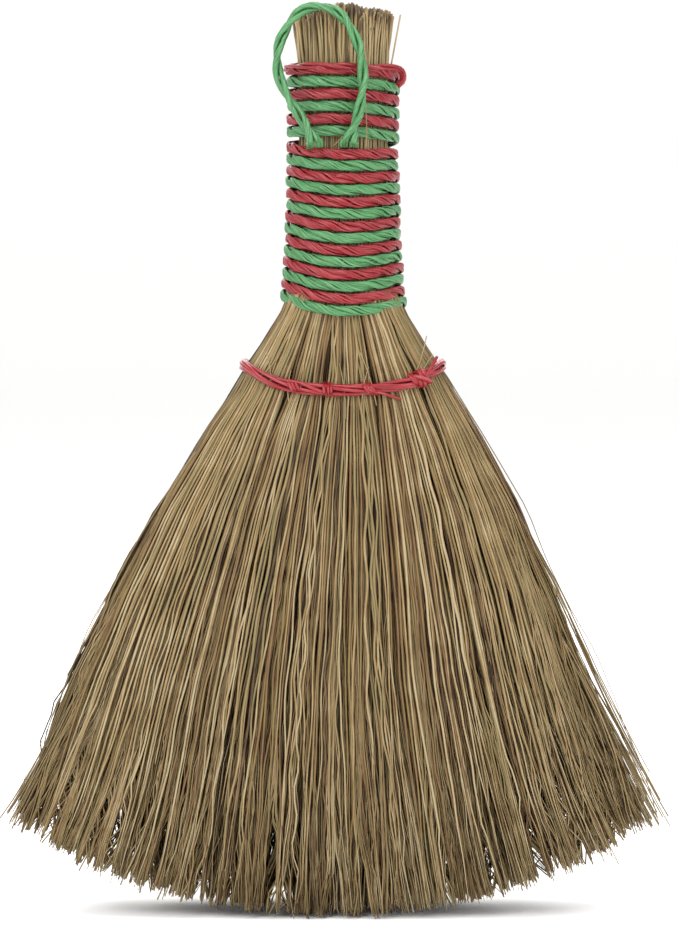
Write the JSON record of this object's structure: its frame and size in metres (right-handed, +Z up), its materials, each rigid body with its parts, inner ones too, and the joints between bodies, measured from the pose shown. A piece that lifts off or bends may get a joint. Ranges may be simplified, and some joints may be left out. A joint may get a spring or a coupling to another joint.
{
  "type": "corn whisk broom",
  "caption": "Hand whisk broom of broomcorn bunches bound into a handle with two coloured cords, with a sewn band across the fan and a hanging loop.",
  "frame": {"origin": "middle of the bounding box at the floor, under the lowest bristle tips", "axes": "+Z up the handle, +X to the right across the fan as seen from the front, -Y the front, where the hanging loop lies"},
  "size_m": [0.2514, 0.053, 0.3436],
  "materials": {
    "bristles": "dry broomcorn fibre, matt with a faint sheen",
    "stalk_ends": "cut broomcorn stalk, matt",
    "red_raffia": "twisted raffia cord, glossy",
    "green_raffia": "twisted raffia cord, glossy"
  },
  "bodies": {
    "broom": {"bunch_1_brush": "bristles", "bunch_1_stalks": "stalk_ends", "bunch_2_brush": "bristles", "bunch_2_stalks": "stalk_ends", "bunch_3_brush": "bristles", "bunch_3_stalks": "stalk_ends", "bunch_4_brush": "bristles", "bunch_4_stalks": "stalk_ends", "bunch_5_brush": "bristles", "bunch_5_stalks": "stalk_ends", "red_binding": "red_raffia", "sewn_band": "red_raffia", "stitch_1": "red_raffia", "stitch_2": "red_raffia", "stitch_3": "red_raffia", "stitch_4": "red_raffia", "band_knot": "red_raffia", "band_loose_end": "red_raffia", "green_binding": "green_raffia", "loop_tail_left": "green_raffia", "loop_tail_right": "green_raffia"},
    "loop": {"hanging_loop": "green_raffia"}
  },
  "joints": [
    {"name": "loop_tip", "type": "hinge", "parent": "broom", "child": "loop", "pos_m": [-0.0042, -0.023, 0.2916], "axis": [1, 0, 0], "range_deg": [0, 170]}
  ]
}
